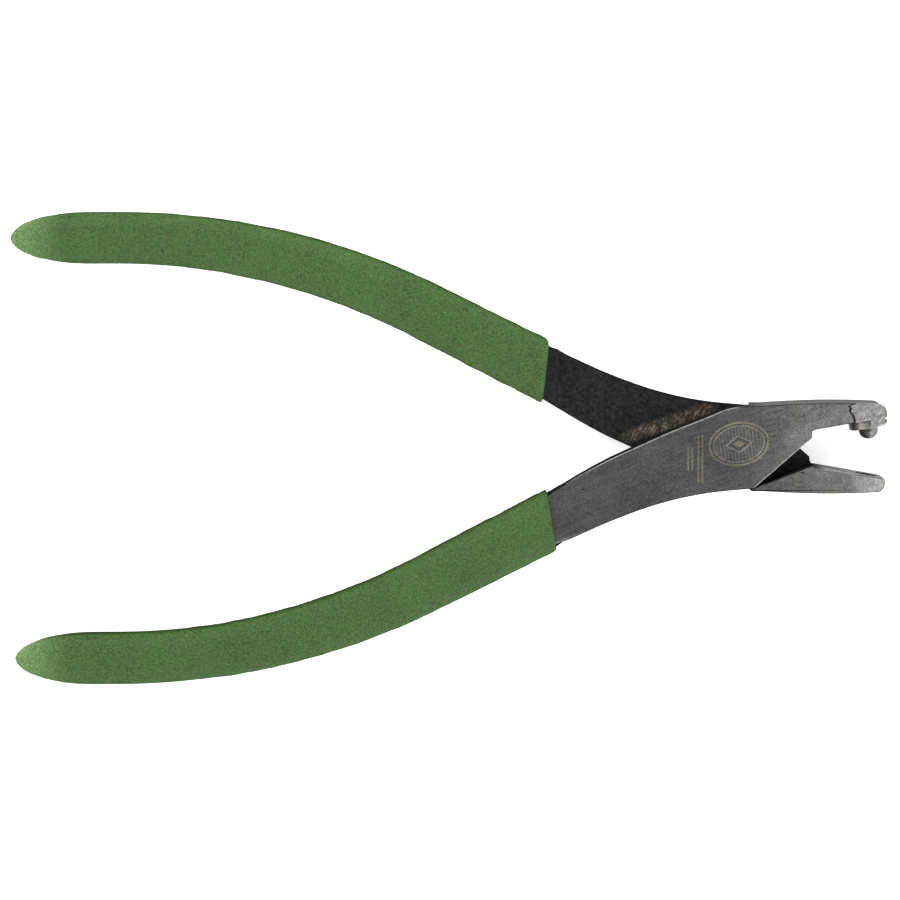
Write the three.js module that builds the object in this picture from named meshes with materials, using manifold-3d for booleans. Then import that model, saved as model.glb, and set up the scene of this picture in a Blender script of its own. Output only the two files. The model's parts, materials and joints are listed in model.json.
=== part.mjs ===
// Crimping pliers: two crossed levers, a blind rivet, dipped grips and a shouldered punch with its filler.
// Millimetres. The tool lies flat: +X runs towards the jaws, +Y across the handles, +Z up off the table.
// Everything is drawn about the rivet axis; the finished tool is then set down with its box's
// bottom centre on the origin. Both levers are one forging: the rear one is the front one turned
// half a turn about the long axis.

import * as THREE from 'three';
import { mergeVertices } from 'three/addons/utils/BufferGeometryUtils.js';
import Module from 'manifold-3d';

const wasm = await Module();
wasm.setup();

const DEGREE = Math.PI / 180;

// Joint
const THICKNESS = 8.6;
const LAP_GAP = 0.2;
const FIT_GAP = 0.3;
const EDGE_DISTANCE = 8.05;
const STOP_EDGE_ANGLE = 41 * DEGREE;
const CLOSING_ANGLE = 19.6 * DEGREE;
const STOP_CLEARANCE = 0.25;
const HUB_BOTTOM = 7.6;
const RELIEF_CLEARANCE = 0.2;

// Jaw
const JAW_FACE_ANGLE = 9.8 * DEGREE;
const JAW_FACE_OFFSET = 0.92;
const THROAT_X = 14.55;
const THROAT_TOP = 3.25;
const THROAT_CHAMFER = 0.7;
const JAW_BACK = 8.45;
const JAW_BELLY = 8.62;
const JAW_END = 28.5;
const TIP_RADIUS = 1.7;
const TIP_FACET_START = 20;
const TIP_FACET_DROP = 0.3;

// Handle
const HANDLE_ANGLE = 27 * DEGREE;
const HANDLE_OFFSET = 3.4;
const BEND_START = 63.9;
const BEND_RADIUS = 129.4;
const NECK_START = 36;
const NECK_HALF_WIDTH = 4.9;
const NECK_OUTER_HALF_WIDTH = 4.6;
const TANG_HALF_WIDTH = 4.55;
const TANG_END_HALF_WIDTH = 3.9;
const TANG_HALF_HEIGHT = 3.2;
const TANG_SQUARENESS = 5;
const TANG_END = 143.2;
const TRIM_START = 27;
const ROUNDING_END = 36;
const ROUNDING_START_ROOM = 1.6;
const ROUNDING_END_ROOM = 1.04;
const TANG_START = 40;
const LAP_END_X = -32.5;
const RAMP_END_X = -38.5;
const FACE_SLOPE_START_X = -24;
const FACE_SLOPE_END_X = -37;

// Grip
const GRIP_FRONT_X = -35;
const GRIP_SKIN_START = 30;
const GRIP_END = 144.8;
const GRIP_HALF_WIDTH = 5.7;
const GRIP_END_HALF_WIDTH = 4.8;
const GRIP_SQUARENESS = 3;
const TIP_START = 129;
const TIP_BLUNTNESS = 0.02;

// Rivet
const RIVET_RADIUS = 3.1;
const RIVET_HEAD_RADIUS = 4.9;
const RIVET_HEAD_LAND = 0.5;
const RIVET_HEAD_DEPTH = 2;
const RIVET_SKIN = 0.8;

// Punch, its die hole and the filler that holds it
const PUNCH_X = 25.35;
const SHANK_RADIUS = 1.7;
const SHANK_LENGTH = 1.9;
const SHANK_BORE_DEPTH = 2.2;
const FLANGE_RADIUS = 3.55;
const FLANGE_BOTTOM = 1.7;
const PILOT_RADIUS = 1.85;
const PILOT_SHOULDER = 2.3;
const PILOT_TIP = 3.95;
const DIE_RADIUS = 2.2;
const DIE_DEPTH = 2.4;
const FILLER_DEPTH = 0.6;
const FILLER_OVERHANG = 0.35;
const LUMP_LEFT = 25.5;
const LUMP_LEAN = 0.3;
const LUMP_TOP = 6.5;
const LUMP_LEFT_BOTTOM = 3.8;
const LUMP_RIGHT_BOTTOM = 4.8;
const LUMP_CORNER_TOP = 5.5;
const LUMP_BACK = 5.9;

// Facets
const INNER_EDGE_POINTS = 52;
const OUTER_EDGE_POINTS = 34;
const TANG_RINGS = 30;
const GRIP_RINGS = 34;
const HANDLE_SIDES = 16;
const RIVET_SIDES = 32;
const PUNCH_SIDES = 28;

const MIDDLE = THICKNESS / 2;
const LAP_PLANE = MIDDLE + LAP_GAP / 2;
const TANG_BOTTOM = MIDDLE - TANG_HALF_HEIGHT;
const TANG_TOP = MIDDLE + TANG_HALF_HEIGHT;
const FAR = 200;

// Solids and meshes

function solidOf(geometry) {
  const bare = geometry.clone();
  bare.deleteAttribute('normal');
  bare.deleteAttribute('uv');
  const welded = mergeVertices(bare, 1e-5);
  const mesh = new wasm.Mesh({
    numProp: 3,
    vertProperties: new Float32Array(welded.attributes.position.array),
    triVerts: new Uint32Array(welded.index.array),
  });
  return new wasm.Manifold(mesh);
}

function geometryOf(solid) {
  const mesh = solid.getMesh();
  const geometry = new THREE.BufferGeometry();
  geometry.setAttribute('position', new THREE.BufferAttribute(mesh.vertProperties, 3));
  geometry.setIndex(new THREE.BufferAttribute(mesh.triVerts, 1));
  geometry.computeVertexNormals();
  return geometry;
}

// A plan outline given thickness from one height to another.
function slab(points, bottom, top) {
  const geometry = new THREE.ExtrudeGeometry(new THREE.Shape(points), {
    depth: top - bottom,
    bevelEnabled: false,
  });
  geometry.translate(0, 0, bottom);
  return solidOf(geometry);
}

// A side outline (x, z) carried right across the tool.
function crossCut(profile) {
  const geometry = new THREE.ExtrudeGeometry(new THREE.Shape(profile), {
    depth: 2 * FAR,
    bevelEnabled: false,
  });
  geometry.rotateX(Math.PI / 2);
  geometry.translate(0, FAR, 0);
  return solidOf(geometry);
}

function at(x, y) {
  return new THREE.Vector2(x, y);
}

// Handle line: distance u is measured along it from the foot of the perpendicular to the rivet axis.

function handlePoint(u) {
  const along = at(-Math.cos(HANDLE_ANGLE), -Math.sin(HANDLE_ANGLE));
  const point = at(along.y, -along.x).multiplyScalar(HANDLE_OFFSET);
  point.addScaledVector(along, Math.min(u, BEND_START));
  if (u <= BEND_START) {
    return { point, angle: HANDLE_ANGLE };
  }
  const bendEnd = BEND_START + BEND_RADIUS * HANDLE_ANGLE;
  const angle = HANDLE_ANGLE - Math.min(u - BEND_START, bendEnd - BEND_START) / BEND_RADIUS;
  point.x -= BEND_RADIUS * (Math.sin(HANDLE_ANGLE) - Math.sin(angle));
  point.y -= BEND_RADIUS * (Math.cos(angle) - Math.cos(HANDLE_ANGLE));
  point.x -= Math.max(0, u - bendEnd);
  return { point, angle };
}

// The point a given distance to the inner side of the handle line.
function besideHandle(u, distance) {
  const { point, angle } = handlePoint(u);
  return at(point.x - Math.sin(angle) * distance, point.y + Math.cos(angle) * distance);
}

function blend(u, start, end, from, to) {
  return THREE.MathUtils.lerp(from, to, THREE.MathUtils.clamp((u - start) / (end - start), 0, 1));
}

function steelHalfWidth(u) {
  if (u < TANG_START) {
    return blend(u, NECK_START, TANG_START, NECK_HALF_WIDTH, TANG_HALF_WIDTH);
  }
  return blend(u, TANG_START, TANG_END, TANG_HALF_WIDTH, TANG_END_HALF_WIDTH);
}

// Bullet-shaped run-out: full size before the tip's start, almost nothing at its end.
function bullet(u, end) {
  const t = THREE.MathUtils.clamp((u - TIP_START) / (end - TIP_START), 0, 1);
  return Math.sqrt(1 - t ** 2.5) + TIP_BLUNTNESS;
}

// A closed skin along the handle line. section(u) gives half width, half height and squareness.
function handleSkin(start, end, steps, sides, section) {
  const geometry = new THREE.CylinderGeometry(1, 1, 1, sides, steps);
  const position = geometry.attributes.position;
  for (let i = 0; i < position.count; i += 1) {
    const u = THREE.MathUtils.lerp(start, end, 0.5 - position.getY(i));
    const { halfWidth, halfHeight, squareness } = section(u);
    const across = -roundedReach(position.getX(i), squareness) * halfWidth;
    const up = roundedReach(position.getZ(i), squareness) * halfHeight;
    const place = besideHandle(u, across);
    position.setXYZ(i, place.x, place.y, MIDDLE + up);
  }
  return solidOf(geometry);
}

// Superellipse co-ordinate from a unit circle's. A rounding error about zero counts as zero.
function roundedReach(circle, squareness) {
  return Math.abs(circle) < 1e-6 ? 0 : Math.sign(circle) * Math.abs(circle) ** (2 / squareness);
}

// Lever

// Where the front edge of the joint plate meets the hub's lower side, and the throat above it.
function stopEdge() {
  const along = at(Math.cos(STOP_EDGE_ANGLE), Math.sin(STOP_EDGE_ANGLE));
  const foot = at(along.y, -along.x).multiplyScalar(EDGE_DISTANCE);
  const lower = foot.clone().addScaledVector(along, (-HUB_BOTTOM - foot.y) / along.y);
  const upper = foot.clone().addScaledVector(along, (THROAT_X - foot.x) / along.x);
  return { lower, upper };
}

function jawFace(x) {
  return at(x, JAW_FACE_OFFSET / Math.cos(JAW_FACE_ANGLE) + x * Math.tan(JAW_FACE_ANGLE));
}

function arcPoints(centre, radius, from, to, count) {
  const points = [];
  for (let i = 0; i <= count; i += 1) {
    const angle = THREE.MathUtils.lerp(from, to, i / count);
    points.push(at(centre.x + radius * Math.cos(angle), centre.y + radius * Math.sin(angle)));
  }
  return points;
}

function jawOutline() {
  const tipCentre = at(JAW_END - TIP_RADIUS, JAW_BACK - TIP_RADIUS);
  return [
    at(THROAT_X, THROAT_TOP),
    jawFace(THROAT_X + THROAT_CHAMFER),
    jawFace(JAW_END),
    ...arcPoints(tipCentre, TIP_RADIUS, 0, Math.PI / 2, 8),
  ];
}

// Inner edge: bellied jaw back, over the hub's shoulder, then along the neck, which swells towards the hub.
function innerEdge() {
  const shoulder = new THREE.SplineCurve([
    at(JAW_END - TIP_RADIUS - 0.5, JAW_BACK),
    at(22, JAW_BELLY - 0.02),
    at(16, JAW_BELLY),
    at(10, 8.42),
    at(5, 8.14),
    at(1.4, 8.02),
    at(-1.6, 7.5),
    at(-4.6, 6.3),
    at(-8.6, 4.7),
    at(-13, 2.95),
    besideHandle(17, 5.45),
    besideHandle(23, 5.68),
    besideHandle(29, 5.48),
    besideHandle(33.5, 5.14),
  ]);
  return shoulder.getPoints(INNER_EDGE_POINTS);
}

// Outer edge: from the neck round under the hub.
function outerEdge(lower) {
  const under = new THREE.SplineCurve([
    besideHandle(NECK_START, -NECK_OUTER_HALF_WIDTH),
    besideHandle(27.5, -4.92),
    at(-14.8, -10.58),
    at(-6, -8.58),
    lower,
  ]);
  return under.getPoints(OUTER_EDGE_POINTS).slice(0, -1);
}

function handleOutline() {
  const inner = [];
  const outer = [];
  for (let u = NECK_START; u < TANG_END + 2; u += 3) {
    inner.push(besideHandle(u, steelHalfWidth(u)));
    outer.unshift(besideHandle(u, -steelHalfWidth(u)));
  }
  outer.pop();
  return [...inner, ...outer];
}

function leverOutline() {
  const { lower, upper } = stopEdge();
  return [lower, upper, ...jawOutline(), ...innerEdge(), ...handleOutline(), ...outerEdge(lower)];
}

// The lap: everything behind the lap plane from the jaw's shoulder back to the neck.
function lapCut() {
  const stopRadius = stopEdge().lower.length() + RELIEF_CLEARANCE;
  const stopDistance = EDGE_DISTANCE + STOP_CLEARANCE;
  const normalAngle = Math.PI / 2 - (STOP_EDGE_ANGLE - CLOSING_ANGLE);
  const normal = at(Math.cos(normalAngle), Math.sin(normalAngle));
  const along = at(normal.y, -normal.x);
  const reliefStart = normalAngle - Math.acos(stopDistance / stopRadius);
  const shoulderEnd = normal.clone().multiplyScalar(stopDistance).addScaledVector(along, 30);
  return slab([
    at(LAP_END_X, -FAR),
    at(shoulderEnd.x, -FAR),
    shoulderEnd,
    ...arcPoints(at(0, 0), stopRadius, reliefStart, Math.PI / 2, 10),
    at(0, FAR),
    at(LAP_END_X, FAR),
  ], -1, LAP_PLANE);
}

// Behind the handle, the back steps down from the lap plane to the tang's own back.
function rampCut() {
  return crossCut([
    at(LAP_END_X, LAP_PLANE),
    at(RAMP_END_X, TANG_BOTTOM),
    at(-FAR, TANG_BOTTOM),
    at(-FAR, -1),
    at(LAP_END_X, -1),
  ]);
}

function faceSlopeCut() {
  return crossCut([
    at(FACE_SLOPE_START_X, THICKNESS),
    at(FACE_SLOPE_START_X, THICKNESS + 1),
    at(-FAR, THICKNESS + 1),
    at(-FAR, TANG_TOP),
    at(FACE_SLOPE_END_X, TANG_TOP),
  ]);
}

function tipFacetCut() {
  return crossCut([
    at(TIP_FACET_START, THICKNESS),
    at(JAW_END + 1, THICKNESS - TIP_FACET_DROP),
    at(JAW_END + 1, THICKNESS + 1),
    at(TIP_FACET_START, THICKNESS + 1),
  ]);
}

// Skin that rounds the neck's corners off towards the tang, let out by a gap for the grip's pocket.
function tangSkin(gap) {
  return handleSkin(TRIM_START - 2, TANG_END + gap, TANG_RINGS, HANDLE_SIDES, (u) => {
    const size = blend(u, TRIM_START, ROUNDING_END, ROUNDING_START_ROOM, ROUNDING_END_ROOM)
      * bullet(u, TANG_END + gap);
    return {
      halfWidth: steelHalfWidth(u) * size + gap,
      halfHeight: TANG_HALF_HEIGHT * size + gap,
      squareness: TANG_SQUARENESS,
    };
  });
}

// Waste outside the tang's rounded corners and bullet end.
function cornerTrim() {
  const above = besideHandle(TRIM_START, FAR / 4);
  const below = besideHandle(TRIM_START, -FAR / 4);
  const waste = slab([
    above,
    at(above.x - FAR, above.y),
    at(below.x - FAR, below.y),
    below,
  ], -2, THICKNESS + 2);
  return waste.subtract(tangSkin(0));
}

function leverBlank() {
  return slab(leverOutline(), 0, THICKNESS)
    .subtract(lapCut())
    .subtract(rampCut())
    .subtract(faceSlopeCut())
    .subtract(tipFacetCut())
    .subtract(cornerTrim());
}

// Rivet: countersunk head flush with the rear lever, shank ending blind in the front one.

function rivetProfile(gap, headFace) {
  return [
    at(0, headFace),
    at(RIVET_HEAD_RADIUS + gap, headFace),
    at(RIVET_HEAD_RADIUS + gap, RIVET_HEAD_LAND),
    at(RIVET_RADIUS + gap, RIVET_HEAD_DEPTH),
    at(RIVET_RADIUS + gap, THICKNESS - RIVET_SKIN - FIT_GAP + gap),
    at(0, THICKNESS - RIVET_SKIN - FIT_GAP + gap),
  ];
}

function rivetGeometry(gap, headFace) {
  const geometry = new THREE.LatheGeometry(rivetProfile(gap, headFace), RIVET_SIDES);
  geometry.rotateX(Math.PI / 2);
  return geometry;
}

// Punch: turned about its own axis, square to the jaw face. Its local +Y points out of the jaw.

function punchProfile() {
  const dome = arcPoints(at(0, PILOT_SHOULDER), 1, 0, Math.PI / 2, 6).map(({ x, y }) => (
    at(x * PILOT_RADIUS, PILOT_SHOULDER + (y - PILOT_SHOULDER) * (PILOT_TIP - PILOT_SHOULDER))
  ));
  dome[dome.length - 1].x = 0;
  return [
    at(0, -SHANK_LENGTH),
    at(SHANK_RADIUS, -SHANK_LENGTH),
    at(SHANK_RADIUS, FIT_GAP),
    at(FLANGE_RADIUS, FIT_GAP),
    at(FLANGE_RADIUS, FLANGE_BOTTOM),
    at(PILOT_RADIUS, FLANGE_BOTTOM),
    ...dome,
  ];
}

// Carries a turned piece from its own axis to the punch axis on the jaw face.
function toPunchAxis(geometry) {
  const seat = jawFace(PUNCH_X);
  geometry.rotateZ(Math.PI + JAW_FACE_ANGLE);
  geometry.translate(seat.x, seat.y, MIDDLE);
  return geometry;
}

function punchCylinder(radius, from, to) {
  const profile = [at(0, from), at(radius, from), at(radius, to), at(0, to)];
  return solidOf(toPunchAxis(new THREE.LatheGeometry(profile, PUNCH_SIDES)));
}

// Filler: the ground braze deposit over the tip's face, run a little past its end, with a lump down the
// front of the flange. A nick at the end parts the two.

// Ragged left edge of the deposit, top to bottom.
function fillerEdge(inset) {
  return [
    at(23.9, JAW_BACK + 1),
    at(22.9, 8.5),
    at(21.5, 8),
    at(21.85, 7.6),
    at(21.6, 7.1),
    at(22.2, 6.3),
    at(22.5, 5.5),
    at(22.6, 4),
  ].map((point) => point.add(at(inset, 0)));
}

// Everything to the right of that edge, above a height.
function fillerZone(inset, bottom) {
  const outline = [...fillerEdge(inset), at(JAW_END + 1, 4), at(JAW_END + 1, JAW_BACK + 1)];
  return slab(outline, bottom, THICKNESS + 1);
}

function filler() {
  const tip = slab(leverOutline(), THICKNESS - FILLER_DEPTH, THICKNESS);
  const overTip = tip.add(tip.translate([FILLER_OVERHANG, 0, 0]))
    .intersect(fillerZone(FIT_GAP, THICKNESS - FILLER_DEPTH - 1));
  const lump = slab([
    at(LUMP_LEFT + LUMP_LEAN, LUMP_LEFT_BOTTOM),
    at(JAW_END + FILLER_OVERHANG, LUMP_RIGHT_BOTTOM),
    at(JAW_END + FILLER_OVERHANG, LUMP_CORNER_TOP),
    at(JAW_END, LUMP_CORNER_TOP),
    at(JAW_END, LUMP_TOP),
    at(LUMP_LEFT, LUMP_TOP),
  ], LUMP_BACK, THICKNESS);
  const room = slab(letDown(leverOutline()), -1, THICKNESS - FILLER_DEPTH);
  const jaw = slab(leverOutline(), -1, THICKNESS - FILLER_DEPTH);
  return overTip
    .add(lump.subtract(room).subtract(jaw))
    .subtract(punchCylinder(FLANGE_RADIUS + FIT_GAP, -0.1, FLANGE_BOTTOM + 1))
    .subtract(tipFacetCut());
}

// The lever's outline with its lower points let down by the fitting gap, which clears the jaw face.
function letDown(points) {
  return points.map(({ x, y }) => at(x, y < LUMP_TOP ? y - FIT_GAP : y));
}

// Pieces

function frontLever() {
  const rivetBore = solidOf(rivetGeometry(FIT_GAP, -1))
    .intersect(slab(leverOutline(), RIVET_HEAD_DEPTH, FAR));
  return leverBlank()
    .subtract(rivetBore)
    .subtract(punchCylinder(SHANK_RADIUS + FIT_GAP, -SHANK_BORE_DEPTH, 1))
    .subtract(fillerZone(0, THICKNESS - FILLER_DEPTH - FIT_GAP));
}

// In the rear lever's own frame, before its half turn, the rivet's head face is at the top.
function rearLever() {
  const rivetHole = rivetGeometry(FIT_GAP, -1);
  rivetHole.rotateX(Math.PI);
  rivetHole.translate(0, 0, THICKNESS);
  return leverBlank()
    .subtract(solidOf(rivetHole))
    .subtract(punchCylinder(DIE_RADIUS, -DIE_DEPTH, 1));
}

function grip() {
  const outside = handleSkin(GRIP_SKIN_START, GRIP_END, GRIP_RINGS, HANDLE_SIDES, (u) => {
    const taper = bullet(u, GRIP_END);
    return {
      halfWidth: blend(u, TANG_START, TIP_START, GRIP_HALF_WIDTH, GRIP_END_HALF_WIDTH) * taper,
      halfHeight: MIDDLE * Math.min(1, taper),
      squareness: GRIP_SQUARENESS,
    };
  });
  const ahead = crossCut([
    at(GRIP_FRONT_X, -2),
    at(0, -2),
    at(0, THICKNESS + 2),
    at(GRIP_FRONT_X, THICKNESS + 2),
  ]);
  return outside.subtract(tangSkin(FIT_GAP)).subtract(ahead);
}

// Materials

function groundSteel() {
  return new THREE.MeshStandardMaterial({ color: 0x6a6a6c, roughness: 0.45, metalness: 1 });
}

function turnedSteel() {
  return new THREE.MeshStandardMaterial({ color: 0x9a9690, roughness: 0.35, metalness: 1 });
}

function brazeFiller() {
  return new THREE.MeshStandardMaterial({ color: 0x9b9791, roughness: 0.5, metalness: 1 });
}

function dippedVinyl() {
  return new THREE.MeshStandardMaterial({ color: 0x567745, roughness: 0.75, metalness: 0 });
}

function piece(name, geometry, material) {
  const mesh = new THREE.Mesh(geometry, material);
  mesh.name = name;
  return mesh;
}

// Assembly

const frontHalf = new THREE.Group();
frontHalf.add(
  piece('front_lever', geometryOf(frontLever()), groundSteel()),
  piece('front_grip', geometryOf(grip()), dippedVinyl()),
  piece('crimp_punch', toPunchAxis(new THREE.LatheGeometry(punchProfile(), PUNCH_SIDES)), turnedSteel()),
  piece('punch_filler', geometryOf(filler()), brazeFiller()),
  piece('pivot_rivet', rivetGeometry(0, 0), turnedSteel()),
);

const rearHalf = new THREE.Group();
rearHalf.rotation.x = Math.PI;
rearHalf.position.z = THICKNESS;
rearHalf.add(
  piece('rear_lever', geometryOf(rearLever()), groundSteel()),
  piece('rear_grip', geometryOf(grip()), dippedVinyl()),
);

const pliers = new THREE.Group();
pliers.add(frontHalf, rearHalf);
pliers.updateMatrixWorld(true);
const box = new THREE.Box3().setFromObject(pliers, true);
pliers.position.set(-(box.min.x + box.max.x) / 2, -(box.min.y + box.max.y) / 2, -box.min.z);

export default pliers;
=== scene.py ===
"""Crimping pliers: the finished look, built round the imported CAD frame.

Metres, in the CAD frame: the tool lies flat on z = 0 with its jaws towards +X. Sizes and places on the
tool are written in millimetres from the rivet axis, as on the front half, and turned into metres when
placed. The rear half is the front one turned over: side is 1 on the front half and -1 on the rear.
"""

import json
import math

import bmesh
import bpy
from mathutils import Matrix, Vector, noise


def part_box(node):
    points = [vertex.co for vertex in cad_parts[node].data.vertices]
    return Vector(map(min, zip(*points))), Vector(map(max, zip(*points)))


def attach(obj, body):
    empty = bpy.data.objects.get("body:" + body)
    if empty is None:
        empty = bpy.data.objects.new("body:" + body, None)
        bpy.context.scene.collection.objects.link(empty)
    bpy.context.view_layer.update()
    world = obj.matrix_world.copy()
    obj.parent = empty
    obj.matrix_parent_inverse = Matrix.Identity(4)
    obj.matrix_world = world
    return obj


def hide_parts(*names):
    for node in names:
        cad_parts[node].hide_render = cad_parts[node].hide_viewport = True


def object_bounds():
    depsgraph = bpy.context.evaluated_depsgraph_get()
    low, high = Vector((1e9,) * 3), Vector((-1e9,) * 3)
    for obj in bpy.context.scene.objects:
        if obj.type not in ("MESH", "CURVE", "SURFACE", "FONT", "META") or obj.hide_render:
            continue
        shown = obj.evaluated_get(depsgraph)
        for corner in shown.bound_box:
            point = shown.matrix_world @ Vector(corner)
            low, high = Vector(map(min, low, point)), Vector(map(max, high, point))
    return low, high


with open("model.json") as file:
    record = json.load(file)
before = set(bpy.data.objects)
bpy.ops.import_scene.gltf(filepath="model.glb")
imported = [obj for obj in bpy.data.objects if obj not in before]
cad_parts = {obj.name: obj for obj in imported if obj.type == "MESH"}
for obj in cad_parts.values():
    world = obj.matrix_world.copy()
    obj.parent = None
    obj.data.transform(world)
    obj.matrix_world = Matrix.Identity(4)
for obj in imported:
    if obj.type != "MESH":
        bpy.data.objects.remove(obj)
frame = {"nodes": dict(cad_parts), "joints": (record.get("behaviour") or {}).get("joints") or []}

CAD_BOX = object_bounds()
MM = 0.001
PIVOT = Vector(frame["joints"][0]["pos_m"])
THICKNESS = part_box("front_lever")[1].z
MIDDLE = THICKNESS / 2

# Handle line; the stations below are measured back along it
HANDLE_ANGLE = math.radians(27)
HANDLE_OFFSET = 3.4
BEND_START = 63.9
BEND_RADIUS = 129.4

# Tang, the steel inside the grip
NECK_END = 36
NECK_HALF_WIDTH = 4.9
TANG_START = 40
TANG_HALF_WIDTH = 4.55
TANG_HALF_HEIGHT = 3.2
TANG_SQUARENESS = 5

# Grip
GRIP_END = 144.7
GRIP_END_WALL = 1.3
GRIP_HALF_WIDTH = 5.7
GRIP_END_HALF_WIDTH = 4.8
GRIP_SQUARENESS = 3
POCKET_SCALE = 1.04
POCKET_GAP = 0.03
TIP_START = 129
TIP_ROUNDING = 2.5
TIP_POWER = 0.55
TIP_BLUNTNESS = 0.02

# Jaw face, where the punch stands on it, and the facet that slopes down towards the jaw tip
JAW_FACE_ANGLE = math.radians(9.8)
JAW_FACE_OFFSET = 0.92
PUNCH_X = 25.35
PUNCH_Y = JAW_FACE_OFFSET / math.cos(JAW_FACE_ANGLE) + PUNCH_X * math.tan(JAW_FACE_ANGLE)
TIP_FACET_START = 20
TIP_FACET_SLOPE = 0.3 / 9.5

# Punch, with its lengths measured out from the jaw face
SHANK_RADIUS = 1.9
SHANK_DEPTH = 1.9
FLANGE_RADIUS = 3.55
FLANGE_THICKNESS = 1.7
FLANGE_LIFT = 0.02
FLANGE_CORNER = 0.16
PILOT_RADIUS = 1.85
PILOT_FILLET = 0.25
PILOT_SHOULDER = 2.3
PILOT_DOME = 1.63


# Small tools


def object_from(name, vertices, faces):
    mesh = bpy.data.meshes.new(name)
    mesh.from_pydata(vertices, [], faces)
    mesh.update()
    made = bpy.data.objects.new(name, mesh)
    bpy.context.scene.collection.objects.link(made)
    return made


def copy_of(node, name):
    """A free-standing copy of a CAD node, without its materials."""
    made = frame["nodes"][node].copy()
    made.data = frame["nodes"][node].data.copy()
    made.name = name
    for key in list(made.keys()):
        del made[key]
    made.parent = None
    made.data.materials.clear()
    bpy.context.scene.collection.objects.link(made)
    return made


def fix_normals(thing):
    bm = bmesh.new()
    bm.from_mesh(thing.data)
    bmesh.ops.recalc_face_normals(bm, faces=bm.faces)
    bm.to_mesh(thing.data)
    bm.free()


def lofted(name, rings, material):
    """A closed skin through rings of equal count, capped at both ends."""
    count = len(rings[0])
    vertices = [point for ring in rings for point in ring]
    faces = []
    for i in range(len(rings) - 1):
        here, there = i * count, (i + 1) * count
        for j in range(count):
            k = (j + 1) % count
            faces.append((here + j, here + k, there + k, there + j))
    faces.append(tuple(range(count)))
    faces.append(tuple(reversed(range(len(vertices) - count, len(vertices)))))
    made = object_from(name, vertices, faces)
    fix_normals(made)
    made.data.materials.append(material)
    return made


def shade_smooth(thing, angle=None):
    """Smooth shading, with edges sharper than the angle left crisp."""
    mesh = thing.data
    mesh.polygons.foreach_set("use_smooth", [True] * len(mesh.polygons))
    if angle is not None:
        mesh.set_sharp_from_angle(angle=math.radians(angle))
    mesh.update()


def apply_modifiers(thing):
    graph = bpy.context.evaluated_depsgraph_get()
    graph.update()
    solid = bpy.data.meshes.new_from_object(thing.evaluated_get(graph))
    thing.modifiers.clear()
    thing.data = solid


def place(x, y, z, side):
    """The point in metres for a place in millimetres, with z from the middle of the thickness."""
    return Vector((PIVOT.x + x * MM, PIVOT.y + side * y * MM, MIDDLE + side * (z * MM)))


def finish_piece(thing, body, slot, *nodes):
    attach(thing, body)
    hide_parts(*nodes)


def smoothstep(value, low, high):
    t = min(1, max(0, (value - low) / (high - low)))
    return t * t * (3 - 2 * t)


def ramp(u, start, end, low, high):
    """Evenly from low to high as u runs from start to end, and level outside them."""
    return low + (high - low) * min(1, max(0, (u - start) / (end - start)))


# Shader building


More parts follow.
